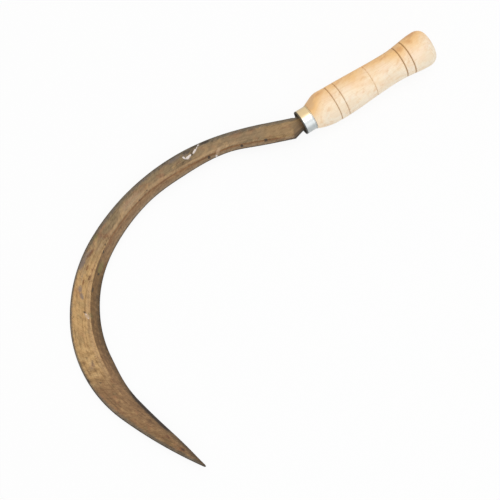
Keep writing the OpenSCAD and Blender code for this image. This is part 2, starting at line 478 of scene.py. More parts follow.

# Drawn aluminium tube, left bright. Drawing leaves hair lines round the tube and handling
# dulls it in clouds. A painted warm reflection yellows the side away from the hook, and
# painted shade greys both flanks. Dirt and painted shade darken the bore, the rolled lip
# and the corner before the bead. A metal, so its IOR stays at the default; roughness 0.2
# to 0.4 as for drawn tube.
DRAWN_ALUMINIUM_TUBE = Finish(
    name="drawn_aluminium_tube",
    coordinate="turned",
    ground="#d9dddd",
    grains={
        # Hair lines 0.4 mm apart, and 9 mm long round the tube
        "lines": Grain((0.4, 9.0, 4.0)),
        "cloud": Grain((4.0, 5.0, 5.0), detail=3.0),
        "speck": Grain((0.6, 0.7, 0.7)),
    },
    ragged="cloud",
    layers=(
        Layer("#b9c0c1", "cloud", 0.48, 0.72, 0.5),
        # Painted warm reflection on the side away from the hook
        Layer("#e4c893", "yellowed", 0.0, 1.0, 0.9, 0.4),
        # Painted shade on both flanks, stronger on the hook's side
        Layer("#98a1a2", "lee", 0.1, 0.9, 0.45, 0.3),
        Layer("#8e8873", "speck", 0.62, 0.75, 0.35, blend=Blend.SHADE),
        # Dirt and painted shade in the bore, on the lip, before the bead and at the rear
        # edge
        Layer("#34322d", "grime", 0.15, 0.75, 0.9, 0.3),
    ),
    roughness=0.22,
    rough_by={"cloud": 0.22, "grime": 0.3},
    metallic=1.0,
    metal_by={"grime": -0.5},
    relief_by={"lines": 0.6, "cloud": 0.4},
    depth=0.025,
)

# Turned birch, sanded and left bare, with grooves burnt in by a wire. Birch is pale cream
# with short fine pores along the grain, soft growth rings and pinkish clouds. The side away
# from the hook is painted golden and darker as warm shade, and the hook's side paler as
# painted light. Satin: roughness 0.55 as for sanded bare wood, default IOR.
TURNED_BIRCH = Finish(
    name="turned_birch",
    coordinate="billet",
    ground="#fae5c6",
    grains={
        "fibre": Grain((22.0, 0.8, 0.8), detail=3.0),
        "pores": Grain((3.4, 0.5, 0.5), detail=1.0),
        "cloud": Grain((17.0, 7.0, 7.0)),
        "figure": Grain((7.0, 3.4, 3.4), turn=35.0, detail=3.0),
        # Chatter of the turning tool, 1.1 mm apart and slanting
        "chatter": Grain((1.2, 14.0, 14.0), turn=24.0),
    },
    ragged="figure",
    layers=(
        Layer("#fbdfc6", "cloud", 0.45, 0.7, 0.6),
        # Painted warm shade on the side away from the hook, greyer towards the outline, and
        # painted light on the hook's side; along the length, the wood's own golden and pale
        # tones
        Layer("#f8c580", "heart", -0.42, 0.85, 1.0, 0.5),
        Layer("#c9a179", "heart", 0.45, 1.15, 0.62, 0.8),
        Layer("#f4ecd9", "heart", -0.3, -0.9, 0.6, 0.5),
        Layer("#e9c08d", "ring", 0.3, 1.0, 0.22),
        Layer("#ebc493", "figure", 0.52, 0.7, 0.28),
        Layer("#d2945a", "curl", 0.1, 0.9, 0.66, 0.7),
        Layer("#dfb583", "fibre", 0.52, 0.74, 0.28),
        Layer("#c9a070", "pores", 0.64, 0.76, 0.4),
        Layer("#dfb886", "chatter", 0.54, 0.76, 0.22),
        Layer("#b98a55", "scorch", 0.1, 0.9, 0.55, 0.3),
        Layer("#86602f", "burn", 0.2, 0.9, 0.75, 0.2),
        # Dirt and painted shade on the wood inside the ferrule
        Layer("#4d3a26", "dirt", 0.1, 0.9, 0.8, 0.5),
    ),
    roughness=0.5,
    rough_by={"fibre": 0.12, "burn": 0.1},
    metallic=0.0,
    metal_by={},
    relief_by={"fibre": 0.45, "pores": -0.6, "chatter": 0.25, "figure": 0.1},
    depth=0.07,
)


# ---- where the tool lies -----------------------------------------------------------------


@dataclass(frozen=True)
class BenchPose:
    """How the tool lies on the bench: turned about the line along which the belly touches.

    Attributes:
        grip_at: Distance from the ferrule's rim to the origin, the middle of the grip.
        heading: Direction of the turning axis in the blade's plane, degrees.
        lie: Turn about it, degrees.
    """

    grip_at: float
    heading: float
    lie: float

    def place(self, points: np.ndarray) -> np.ndarray:
        """Carries points from the tool's axes, in mm, to the CAD frame, in metres.

        The origin is moved to the grip, and then each point p goes to
        p cos a + (k x p) sin a + k (k . p)(1 - cos a), for the axis k and the turn a.

        Args:
            points: Points in the tool's axes, with x, y, z last.

        Returns:
            The points in the CAD frame.
        """
        heading, turn = math.radians(self.heading), math.radians(self.lie)
        axis = np.array([math.cos(heading), math.sin(heading), 0])
        p = points + np.array([self.grip_at, 0, 0])
        along = (p @ axis)[..., None] * axis
        turned = p * math.cos(turn) + np.cross(axis, p) * math.sin(turn)
        return (turned + along * (1 - math.cos(turn))) * MM


# ---- meshes from grids -------------------------------------------------------------------


# Radius of the ring that a cap's fan closes on the handle's axis, mm
CAP_R = 0.4


class Ends(Enum):
    """How a stack of closed rings ends."""

    CAPPED = "a fan closes the first and the last ring"
    JOINED = "the last ring meets the first"


def add_object(name: str, data: bpy.types.ID) -> bpy.types.Object:
    """Adds an object to the scene, at the origin.

    Args:
        name: Its name.
        data: Mesh, light or camera that it holds.

    Returns:
        The new object.
    """
    holder = bpy.data.objects.new(name, data)
    bpy.context.scene.collection.objects.link(holder)
    return holder


@dataclass
class RingStack:
    """A closed surface made of rings of points, all with as many points.

    Attributes:
        rings: Points, as rings by points by x, y, z, in mm.
        ends: How the stack ends.
        coordinate: Name of the three-part coordinate for the grains.
        places: That coordinate of each point, mm.
        fields: Named value of each point, for the layers of the finish.
    """

    rings: np.ndarray
    ends: Ends
    coordinate: str
    places: np.ndarray
    fields: Fields = field(default_factory=dict)

    def flat(self, values: np.ndarray) -> np.ndarray:
        """Lists values point by point, with those of the two cap centres last.

        Args:
            values: Values as rings by points, and by parts where they have some.

        Returns:
            One row for each point of the mesh.
        """
        rows = values.reshape(-1, *values.shape[2:])
        if self.ends is Ends.JOINED:
            return rows
        return np.concatenate([rows, values[:1].mean(1), values[-1:].mean(1)])

    def faces(self) -> list[list[int]]:
        """Lists the faces: quads between rings, and triangles in the caps.

        Returns:
            Vertex numbers of each face.
        """
        count, around = self.rings.shape[:2]
        here = np.arange(count * around).reshape(count, around)
        if self.ends is Ends.JOINED:
            here = np.vstack([here, here[:1]])
        beside = np.roll(here, -1, axis=1)
        quads = np.stack([here[:-1], here[1:], beside[1:], beside[:-1]], -1)
        faces = quads.reshape(-1, 4).tolist()
        if self.ends is Ends.CAPPED:
            first, last = count * around, count * around + 1
            start = np.stack([np.full(around, first), here[0], beside[0]], -1)
            end = np.stack([np.full(around, last), beside[-1], here[-1]], -1)
            faces += start.tolist() + end.tolist()
        return faces

    def build(self, name: str, pose: BenchPose, sharp: float) -> bpy.types.Object:
        """Makes the mesh object, in its place.

        Args:
            name: Name of the piece.
            pose: Where the tool lies.
            sharp: Angle above which an edge stays sharp, degrees.

        Returns:
            The new object, which sits at the origin.
        """
        mesh = bpy.data.meshes.new(name)
        mesh.from_pydata(pose.place(self.flat(self.rings)).tolist(), [], self.faces())
        layer = mesh.attributes.new(self.coordinate, "FLOAT_VECTOR", "POINT")
        layer.data.foreach_set("vector", self.flat(self.places).astype(np.float32).ravel())
        for key, values in self.fields.items():
            layer = mesh.attributes.new(key, "FLOAT", "POINT")
            layer.data.foreach_set("value", self.flat(values).astype(np.float32).ravel())
        mesh.shade_smooth()
        mesh.set_sharp_from_angle(angle=math.radians(sharp))
        mesh.validate()
        return add_object(name, mesh)


def enter(piece: bpy.types.Object, node: str, finish: Finish) -> None:
    """Dresses a piece, sets it on the body and hides the CAD node that it replaces.

    Args:
        piece: The piece.
        node: CAD node that it replaces.
        finish: Its finish.
    """
    piece.data.materials.append(finish.build())
    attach(piece, BODY)
    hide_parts(node)
    LOG.info("%s: %d points, %s", piece.name, len(piece.data.vertices), finish.name)


# ---- blade -------------------------------------------------------------------------------


class MarkKind(Enum):
    """What a local mark on the blade shows, which is also its field's name."""

    BARE = "bare"
    SOOT = "soot"
    STAIN = "stain"
    OLIVE = "olive"
    RUST = "rust"
    SCUFF = "scuff"


@dataclass
class Places:
    """Places on the blade's skin, in its own run, and the section's sizes there, in mm.

    Attributes:
        s: Distance along the back, from the heel.
        e: Distance in from the back.
        h: Height over the underside.
        w: Width of the section.
        t: Thickness of the section.
        bevel: Width of its bevel.
    """

    s: np.ndarray
    e: np.ndarray
    h: np.ndarray
    w: np.ndarray
    t: np.ndarray
    bevel: np.ndarray


@dataclass(frozen=True)
class Mark:
    """One mark on the blade's upper face, an ellipse in the blade's own run.

    Attributes:
        kind: Bare steel, dark scale, a cool or olive bloom, rust, or a scuff.
        along: Distance along the back, mm.
        across: Distance in from the back, mm.
        length: Half of its length, mm.
        breadth: Half of its breadth, mm.
        turn: Angle of its length from the run, towards the inner edge, degrees.
        strength: How strong it is, from 0 to 1.
        depth: How deep the steel sinks there, mm.
    """

    kind: MarkKind
    along: float
    across: float
    length: float
    breadth: float
    turn: float = 0
    strength: float = 1
    depth: float = 0

    def cover(self, at: Places) -> np.ndarray:
        """Cover of the mark: 1 inside, falling to 0 at one and a half of its size.

        Args:
            at: Places on the blade.

        Returns:
            Cover from 0 to 1.
        """
        c, n = math.cos(math.radians(self.turn)), math.sin(math.radians(self.turn))
        ds, de = at.s - self.along, at.e - self.across
        far = np.hypot((ds * c + de * n) / self.length, (de * c - ds * n) / self.breadth)
        return np.clip(1.5 - far, 0, 1) * self.strength


# Marks that can be made out one by one. Each is a Mark's sizes, from along to depth.
PLACED: dict[MarkKind, tuple[tuple[float, ...], ...]] = {
    MarkKind.BARE: (
        (82.4, 18, 1.6, 0.9, 12, 0.72), (95.2, 1.7, 1.1, 0.7, 40),
        (97.4, 3.4, 2, 0.55, 42, 0.8), (100.9, 5.7, 3, 1.05, 32),
        (107.2, 7.7, 2.4, 1.1, 18), (109.6, 8.4, 2, 1.5, 0),
        (112.8, 6.9, 2.1, 0.95, -62, 0.95), (307.6, 15.4, 1.5, 0.9, 60, 0.6),
        (312, 17.4, 1.3, 0.8, 30, 0.56),
    ),
    MarkKind.SOOT: (
        (30.4, 16.6, 1.9, 1.5, 0, 0.95, 0.1), (55, 16.4, 1.6, 1.3, 0, 0.95, 0.1),
        (90.2, 16.9, 1.8, 1.4, 10, 0.95, 0.1), (88.5, 1.8, 6, 1.6, 4, 0.75),
        (99, 1.4, 8, 1.3, 4, 0.6), (108.5, 3, 6, 2.2, -6, 0.6),
        (102.8, 4.4, 3.6, 1.6, 30, 0.62), (104.6, 7.4, 1.7, 1.5, 40, 0.75),
        (112.5, 8.8, 2.6, 1.2, -30, 0.6), (107.6, 11.2, 1.3, 1, 90, 0.5),
        (174, 14.2, 1.5, 1.1, 0, 0.6, 0.1), (230.4, 14.8, 1.6, 0.9, 20, 0.7, 0.08),
        (238.4, 16.8, 2, 0.9, 10, 0.85, 0.06), (262.7, 20.6, 1.6, 1, 0, 0.9, 0.12),
        (269, 13.7, 3, 0.8, -4, 0.6, 0.06), (281, 19.4, 3.6, 0.7, 3, 0.85, 0.06),
        (285, 9, 2, 1, 30, 0.3), (305.2, 13.6, 1.7, 1.1, 50, 0.75, 0.06),
        (352, 9, 1.5, 1, 20, 0.7, 0.1), (359, 12.6, 3.4, 0.9, -20, 0.6, 0.06),
        (373, 1.4, 3, 0.9, 0, 0.7), (381, 9.6, 2.2, 1.1, 40, 0.6, 0.08),
        (465.4, 9.2, 2, 0.6, -12, 0.6, 0.05), (482.8, 5.6, 2.2, 1, -10, 0.66, 0.05),
    ),
    MarkKind.STAIN: (
        (64, 3, 16, 2.6, 0, 0.36), (110, 4.4, 6, 3, 20, 0.62),
        (108, 11, 2.2, 1.6, 60, 0.6), (122, 3.4, 9, 2.4, 4, 0.7),
        (158, 2.2, 12, 1.8, 0, 0.55), (205, 2, 14, 1.8, 0, 0.5),
        (226, 8, 4, 3.4, 60, 0.4), (247, 4.6, 7, 2.6, -16, 0.75), (257, 3, 8, 2.2, -4, 1),
        (262, 6.6, 15, 4.2, 0, 0.46), (270, 7, 9, 1.6, 8, 0.55),
        (300, 1.8, 15, 1.8, 0, 0.5), (282, 7.6, 4.2, 2, 16, 0.9),
        (289, 10.2, 4.4, 2, 24, 0.9), (308.6, 17, 5.4, 3.2, 40, 0.5),
        (362, 10.5, 8, 3.4, -30, 0.55),
    ),
    MarkKind.OLIVE: (
        (229, 3.6, 5, 3, 10, 0.7), (255, 20.4, 9, 2.6, 2, 0.74),
        (309, 19.4, 5, 2.6, 30, 0.6),
    ),
    MarkKind.RUST: (
        (20, 17, 9, 1.1, -4, 0.6), (76, 9, 4, 2.6, 30, 0.34),
        (118, 14.6, 18, 1.2, 0, 0.5), (223.5, 10.4, 3.6, 4.6, 0, 0.54),
        (225.5, 17.6, 4.6, 2, 10, 0.66), (246, 6.4, 7, 2, -14, 0.75),
        (258, 14.6, 24, 0.9, 2, 0.55), (259.5, 8.8, 3.8, 1.2, -2, 0.86),
        (269, 13.7, 4, 1.5, -4, 0.8), (274.6, 9.2, 3.6, 1.2, 0, 0.82),
        (284, 5.6, 9, 1, 6, 0.3), (392, 8, 12, 3.5, 10, 0.45),
        (465.4, 9, 3.4, 1.6, -12, 0.8), (458, 6, 9, 1.8, 4, 0.5),
        (482.4, 5.4, 3.4, 1.6, -10, 1, 0.05), (492, 2.8, 4, 1.2, 0, 0.5),
    ),
    MarkKind.SCUFF: (
        (79.2, 14.6, 4.6, 1.9, 42, 0.62), (181, 9, 20, 5, 0, 0.5),
        (236, 11.4, 8, 2.2, -8, 0.4), (309.6, 16.4, 4, 1.9, 36, 0.9),
    ),
}


def placed_marks() -> list[Mark]:
    """Lists the marks that can be made out one by one."""
    return [Mark(kind, *sizes) for kind, rows in PLACED.items() for sizes in rows]


def scattered_pits(count: int, length: float, seed: int) -> list[Mark]:
    """Scatters small scale pits over the blade.

    Args:
        count: How many.
        length: Length of the blade's back, mm.
        seed: Seed of the generator.

    Returns:
        The pits, each 0.3 to 0.9 mm in half breadth and longer than broad.
    """
    heel_room, tip_room = 8, 12
    wide, narrows_at = 20, 400
    draw = np.random.default_rng(seed)
    pits = []
    for _ in range(count):
        along = draw.uniform(heel_room, length - tip_room)
        size = draw.uniform(0.3, 0.9)
        room = wide
        if along >= narrows_at:
            room = wide * (length - along) / (length - narrows_at)
        across = draw.uniform(1.0, max(room, 2.0))
        longer, turn = draw.uniform(1.0, 2.2), draw.uniform(-15, 15)
        strength, depth = draw.uniform(0.25, 0.6), draw.uniform(0.03, 0.09)
        pit = (along, across, size * longer, size, turn, strength, depth)
        pits.append(Mark(MarkKind.SOOT, *pit))
    return pits


@dataclass
class Blade:
    """The forged blade: tang, heel, arm, belly and point in one closed skin.

    Its back is one straight run and five tangent arcs. A section stands upright on the
    back: a flat underside, a rounded back, a flat upper face, a ridge and a bevel down to
    the edge. Sizes are in mm, turns in degrees, and distances along the blade are measured
    on its back from the heel.
    """

    # The hidden tang: its length, and its width and thickness at the blade and at its end
    tang_len: float = 85
    tang_w: float = 15
    tang_end_w: float = 4.5
    tang_end_t: float = 2.4
    tang_chamfer: float = 0.6
    # How the blade leaves the ferrule: the neck, and the step out to the back
    neck_len: float = 2.2
    back_step: float = 0.5
    # The back: heading and length of its straight run, then radius and turn of each arc
    heading: float = -21.4
    heel_run: float = 30
    arcs: Table = ((328, 6.9), (215, 42.9), (142, 35.4), (120, 48.8), (430, 11.7))
    # The section: share of the back's length, and the size there
    thickness: float = 3.0
    widths: Table = (
        (0, 20.3), (0.07, 20.3), (0.135, 18.4), (0.24, 21.3), (0.33, 21.3), (0.5, 25.1),
        (0.715, 29.8), (0.8, 25.4), (0.9, 16.5), (0.95, 10.4), (1, 1.6),
    )
    thicknesses: Table = ((0, 3.0), (0.7, 2.8), (1, 1.2))
    bevels: Table = ((0, 0.6), (0.06, 4.3), (0.165, 4.3), (0.3, 7.1), (0.55, 8.4), (1, 8.4))
    edges: Table = ((0, 2.5), (0.05, 0.9), (0.1, 0.5), (1, 0.5))
    # Most that a bevel takes of the width, and an edge of the thickness
    bevel_share: float = 0.42
    edge_share: float = 0.8
    back_round: float = 0.7
    tip_round: float = 1.6
    # Where the blade's own section begins, and the share of the back that touches the bench
    heel_at: float = 2.2
    touch_share: float = 0.62
    # The mesh: distance between the blade's rings, number of rings on the tang and on the
    # heel, and points on each part of a ring
    ring_pitch: float = 0.52
    tang_rings: int = 46
    heel_rings: int = 8
    under_points: int = 19
    corner_points: int = 6
    face_points: int = 27
    bevel_points: int = 17
    # The relief: depth of the forging waves, and drop and reach of the face at the back
    forge_depth: float = 0.16
    roll_off: float = 0.3
    roll_reach: float = 1.7
    pits: int = 80
    # Softness of the ridge: on the arm, what the point adds, and where it does
    ridge_soft: float = 0.16
    point_soft: float = 0.7
    ridge_softens: Span = (380, 440)
    # Where along the blade a look begins to change, and where it has changed
    neck_shade_and_dirt_ends: Span = (1.5, 6)
    heel_ends: Span = (20, 42)
    ridge_highlight_begins: Span = (40, 66)
    calm_until: Span = (118, 92)
    arm_ends: Span = (205, 262)
    belly_begins: Span = (225, 270)
    belly_tone: Span = (212, 286)
    belly_bevel: Span = (215, 285)
    low_begins: Span = (230, 290)
    ridge_highlight_ends: Span = (370, 395)
    back_darkens: Span = (330, 400)
    back_shade_widens: Span = (370, 410)
    point_tone: Span = (350, 398)
    point_bevel: Span = (310, 400)
    keen_begins: Span = (392, 425)
    keen_weakens: Span = (456, 468)
    bevel_fades: Span = (405, 470)
    tip_tone: Span = (424, 482)

    def length(self) -> float:
        """Length of the back, from the heel to the tip."""
        return self.heel_run + sum(r * math.radians(t) for r, t in self.arcs)

    def back(self, s: np.ndarray) -> tuple[np.ndarray, np.ndarray, np.ndarray]:
        """Place and heading on the back.

        On the straight run the place moves along the heading. On an arc of radius r the
        heading h grows by s / r, and the place goes to x = x0 + r (sin h - sin h0) and
        y = y0 + r (cos h0 - cos h).

        Args:
            s: Distances along the back.

        Returns:
            x, y and the heading in radians.
        """
        h0 = math.radians(self.heading)
        x0, y0 = self.neck_len, -self.tang_w / 2 - self.back_step
        x, y = x0 + s * math.cos(h0), y0 + s * math.sin(h0)
        h = np.full_like(s, h0)
        x0, y0 = x0 + self.heel_run * math.cos(h0), y0 + self.heel_run * math.sin(h0)
        start = self.heel_run
        for radius, turn in self.arcs:
            past = s >= start
            h = np.where(past, h0 + (s - start) / radius, h)
            x = np.where(past, x0 + radius * (np.sin(h) - math.sin(h0)), x)
            y = np.where(past, y0 + radius * (math.cos(h0) - np.cos(h)), y)
            h1 = h0 + math.radians(turn)
            x0 += radius * (math.sin(h1) - math.sin(h0))
            y0 += radius * (math.cos(h0) - math.cos(h1))
            start += radius * math.radians(turn)
            h0 = h1
        return x, y, h

    def varied(self, table: Table, s: np.ndarray) -> np.ndarray:
        """Smooth curve through a table of shares of the back's length and sizes."""
        shares, values = np.array(table).T
        return smooth_through(shares, values, s / self.length())

    def pose(self, grip_at: float, swell_from: float, swell_d: float) -> BenchPose:
        """Works out how the tool lies, on its swell and on the back of its belly.

        The turning axis is the back's direction h where it touches, at x, y. The swell
        hangs half of (its diameter - the blade's thickness) lower than the blade, at
        (x + swell_from) sin h - y cos h to the side of the axis, which gives the turn.

        Args:
            grip_at: Distance from the ferrule's rim to the origin.
            swell_from: Distance from the ferrule's rim to the swell.
            swell_d: Diameter of the swell.

        Returns:
            The pose.
        """
        touch = np.array([self.touch_share * self.length()])
        x, y, h = (float(v[0]) for v in self.back(touch))
        reach = (x + swell_from) * math.sin(h) - y * math.cos(h)
        lie = math.asin((swell_d - self.thickness) / 2 / reach)
        return BenchPose(grip_at, math.degrees(h), math.degrees(lie))

    def section(self, sizes: np.ndarray) -> tuple[np.ndarray, np.ndarray]:
        """Outline of the section at every station, once round from the inner edge.

        It runs back along the underside, up the rounded back, over the upper face and down
        the bevel. The upper face drops past the ridge by slope * k ln(1 + exp(d / k)), for
        the distance d past the ridge and the softness k of the ridge.

        Args:
            sizes: Width, thickness, the bevel's width, the edge's thickness and the
                ridge's softness, as five rows with a value for each station.

        Returns:
            Distance in from the back and height over the underside, stations by points.
        """
        # Where the bevel ends and the nose of the edge stands, as shares of the edge's
        # thickness, and the power at which exp is capped
        bevel_end, nose, cap = 0.6, 0.35, 40
        w, t, bevel, edge, soft = sizes[..., None]
        r = np.minimum(self.back_round, np.minimum(w / 4, t / 3))
        ridge = w - bevel
        q = np.linspace(0, 1, self.under_points)[None, :]
        under_e, under_h = w - (w - r) * q, 0 * q * w
        low = np.radians(np.linspace(270, 180, self.corner_points))[None, 1:]
        high = np.radians(np.linspace(180, 90, self.corner_points))[None, :]
        # The face and the bevel have their points closer together at both ends
        face, slope = (
            0.5 - 0.5 * np.cos(np.pi * np.linspace(0, 1, count))[None, 1:]
            for count in (self.face_points, self.bevel_points)
        )
        top_e = np.concatenate([r + (ridge - r) * face, ridge + bevel * slope], 1)
        past = np.clip((top_e - ridge) / soft, -cap, cap)
        top_h = t - (t - edge) / bevel * soft * np.log1p(np.exp(past))
        top_h = np.maximum(top_h, edge * bevel_end)
        e = [under_e, r + r * np.cos(low), r + r * np.cos(high), top_e, w]
        h = [under_h, r + r * np.sin(low), t - r + r * np.sin(high), top_h, edge * nose]
        return np.concatenate(e, 1), np.concatenate(h, 1)

    def relief(self, at: Places, marks: list[Mark]) -> np.ndarray:
        """What the forging and the marks add to the height of each point.

        The upper side only sinks: by low waves, by a roll-off that falls as a bell curve
        from the back, and by each mark's depth times its cover squared. The underside
        rises by a quarter of the forging's depth. The heel, the edge and the tip stay.

        Args:
            at: Places on the plain section.
            marks: Marks, some of them with a depth.

        Returns:
            Height to add at each place.
        """
        # The relief sets in over a run at the heel and over a growth in width at the tip,
        # and no point sinks by more than a share of its height
        heel_room, tip_w, tip_room, most_sunk = 6, 2, 12, 0.35
        on_underside = at.h < 0.01
        depth = self.forge_depth * (0.5 + 0.5 * waves(at.s, at.e, 11, 34, 5))
        depth += self.roll_off * hump(0, self.roll_reach, at.e)
        for mark in marks:
            if mark.depth:
                depth += mark.depth * mark.cover(at) ** 2
        sunk = np.minimum(depth * np.clip(at.h / at.t, 0, 1), most_sunk * at.h)
        low = 0.25 * self.forge_depth * (1 + waves(at.s, at.e, 12, 30, 8))
        room = ease(self.heel_at, self.heel_at + heel_room, at.s)
        room = room * part_way(tip_w, tip_room, at.w)
        return room * (np.where(on_underside, low, 0) - sunk)

    def tones(self, at: Places) -> Fields:
        """Fields that the finish lays its tones by, from 0 to 1, and dapple from -1 to 1.

        A look changes along the blade as one of its spans says. Across the blade it is a
        soft step or a bell curve, with its place and width in mm past the ridge, from the
        edge or from the back.

        Args:
            at: Places on the blade.

        Returns:
            The fields by name.
        """
        s, e = at.s, at.e
        past, to_edge = e - (at.w - at.bevel), at.w - e
        bevel = ease(-0.25, 0.25, past)
        on_arm, on_belly = 1 - ease(*self.arm_ends, s), ease(*self.belly_begins, s)
        # Width of the band of painted shade along the rounded back
        band = 2.1 + 0.9 * on_arm - 0.2 * on_belly + 0.9 * ease(*self.back_shade_widens, s)
        faded = 1 - 0.55 * ease(*self.bevel_fades, s)
        # Painted highlight just above the ridge, on the arm and fainter on the belly
        glow = on_arm * ease(*self.ridge_highlight_begins, s) * hump(-1.9, 1.5, past)
        glow += 0.7 * on_belly * (1 - ease(*self.ridge_highlight_ends, s)) * hump(-2.2, 2.6, past)
        keen_from = ease(*self.keen_begins, s) * (1 - 0.7 * ease(*self.keen_weakens, s))
        return {
            # The belly's tone sets in earlier near the ridge than at the back
            "belly": ease(*self.belly_tone, s + 1.8 * (e - 8)),
            "point": ease(*self.point_tone, s),
            "tip": ease(*self.tip_tone, s),
            "dapple": hump(362, 21, s) * (1 - bevel) * waves(s, e, 4.5, 15, 17),
            # Painted shadow of the ferrule, with dirt, at the neck
            "neck": 1 - ease(*self.neck_shade_and_dirt_ends, s + 0.15 * to_edge),
            "heel": 1 - ease(*self.heel_ends, s),
            "band": np.clip(1.35 - 0.75 * e / band, 0, 1) * (1 - 0.14 * on_belly),
            # Painted shade along the back edge, darker towards the point
            "back_line": hump(0, 0.9, e) * (0.7 + 0.3 * ease(*self.back_darkens, s)),
            "glow": glow * (1 - bevel),
            "calm": ease(3.0, 6.0, e) * ease(-1.5, -4.0, past) * ease(*self.calm_until, s),
            "streak_line": on_arm * (1 - 0.5 * hump(45, 14, s)) * hump(0.7, 0.7, past),
            # The bevel is darker partly as ground steel and partly as painted shade
            "bevel": bevel * faded,
            "bevel_belly": bevel * ease(*self.belly_bevel, s) * faded,
            "bevel_point": bevel * ease(*self.point_bevel, s) * faded,
            "worn_edge": (1 - ease(0.8, 4.0, to_edge)) * on_arm,
            "low": (1 - ease(1.0, 5.5, to_edge)) * ease(*self.low_begins, s),
            "keen": (1 - ease(1.2, 3.8, to_edge)) * keen_from,
            "rim": 1 - ease(0.2, 0.9, to_edge),
        }

    def tang_size(self, u: np.ndarray) -> tuple[np.ndarray, np.ndarray]:
        """Width and thickness of the tang, at shares of its length from its hidden end."""
        w = self.tang_end_w + (self.tang_w - self.tang_end_w) * u
        return w, self.tang_end_t + (self.thickness - self.tang_end_t) * u

    def tang(self) -> tuple[np.ndarray, np.ndarray]:
        """Rings of the tang, which tapers straight to its hidden end.

        Returns:
            The rings, and the distance of each from the neck's front, negative.
        """
        x = np.linspace(-self.tang_len, self.neck_len, self.tang_rings)
        w, t = self.tang_size(part_way(-self.tang_len, self.tang_len, x))
        chamfer = np.full_like(w, self.tang_chamfer)
        e, h = self.section(np.stack([w, t, chamfer, t - chamfer, 0.1 * chamfer]))
        x_all = np.broadcast_to(x[:, None], e.shape)
        rings = np.stack([x_all, e - w[:, None] / 2, h - t[:, None] / 2], -1)
        return rings, x - self.neck_len

    def with_tang(self, blade: np.ndarray, strip: np.ndarray, fields: Fields) -> RingStack:
        """Sets the tang and the short heel before the blade's rings.

        The heel goes straight from the tang's last ring to the blade's first. On both, the
        fields go on from the blade's first ring.

        Args:
            blade: Rings of the blade.
            strip: Distances along the back, in from it and up, of each point.
            fields: Fields of the finish.

        Returns:
            The whole stack.
        """
        tang, tang_s = self.tang()
        q = np.linspace(0, 1, self.heel_rings + 2)[1:-1, None, None]
        heel = tang[-1] + (blade[0] - tang[-1]) * q
        ahead = len(tang) + len(heel)
        longer = {
            name: np.concatenate([np.repeat(values[:1], ahead, 0), values])
            for name, values in {"strip": strip, **fields}.items()
        }
        strip = longer.pop("strip")
        strip[:ahead, :, 0] = np.append(tang_s, self.heel_at * q.ravel())[:, None]
        rings = np.concatenate([tang, heel, blade])
        return RingStack(rings, Ends.CAPPED, "strip", strip, longer)

    def skin(self) -> RingStack:
        """Computes the whole skin, from the tang's hidden end to the tip.

        Returns:
            The rings, with the fields of the finish.
        """
        length = self.length()
        count = int((length - self.heel_at) / self.ring_pitch)
        s = np.linspace(self.heel_at, length, count)
        w = np.maximum(self.varied(self.widths, s), self.widths[-1][1])
        t = self.varied(self.thicknesses, s)
        bevel = np.minimum(self.varied(self.bevels, s), self.bevel_share * w)
        edge = np.minimum(self.varied(self.edges, s), self.edge_share * t)
        soft = self.ridge_soft + self.point_soft * ease(*self.ridge_softens, s)
        e, h = self.section(np.stack([w, t, bevel, edge, np.minimum(soft, 0.2 * bevel)]))
        x, y, heading = (v[:, None] for v in self.back(s))
        s, w, t, bevel = (np.repeat(v[:, None], e.shape[1], 1) for v in (s, w, t, bevel))
        at = Places(s, e, h, w, t, bevel)
        marks = placed_marks() + scattered_pits(self.pits, length, 11)
        at.h = h + self.relief(at, marks)

        # The last stretch rounds off to the tip, as the root of 1 - (1 - left)^2, down to a
        # fifth of the width
        left = np.clip((length - s) / self.tip_round, 0, 1)
        shrink = np.sqrt(np.clip(1 - (1 - left) ** 2, 0.2**2, 1))
        e_in = w / 2 + (e - w / 2) * shrink
        h_in = t / 2 + (at.h - t / 2) * np.sqrt(shrink)
        across_x, across_y = x - e_in * np.sin(heading), y + e_in * np.cos(heading)
        blade = np.stack([across_x, across_y, h_in - self.thickness / 2], -1)

        # The marks and the tones stop at the underside, which has a tone of its own
        below = np.arange(e.shape[1]) < self.under_points
        edge_room = 0.3
        under = (below & (e < w - edge_room)).astype(float)
        fields = self.tones(at)
        for kind in MarkKind:
            covers = [mark.cover(at) for mark in marks if mark.kind is kind]
            fields[kind.value] = np.max(covers, axis=0)
        fields = {name: values * (1 - under) for name, values in fields.items()}
        fields["under"] = under
        return self.with_tang(blade, np.stack([s, e, at.h], -1), fields)

    def make(self, pose: BenchPose) -> None:
        """Builds the blade and dresses it."""
        piece = self.skin().build("forged_blade", pose, 50)
        enter(piece, "blade", LACQUERED_FORGED_STEEL)


# ---- ferrule -----------------------------------------------------------------------------


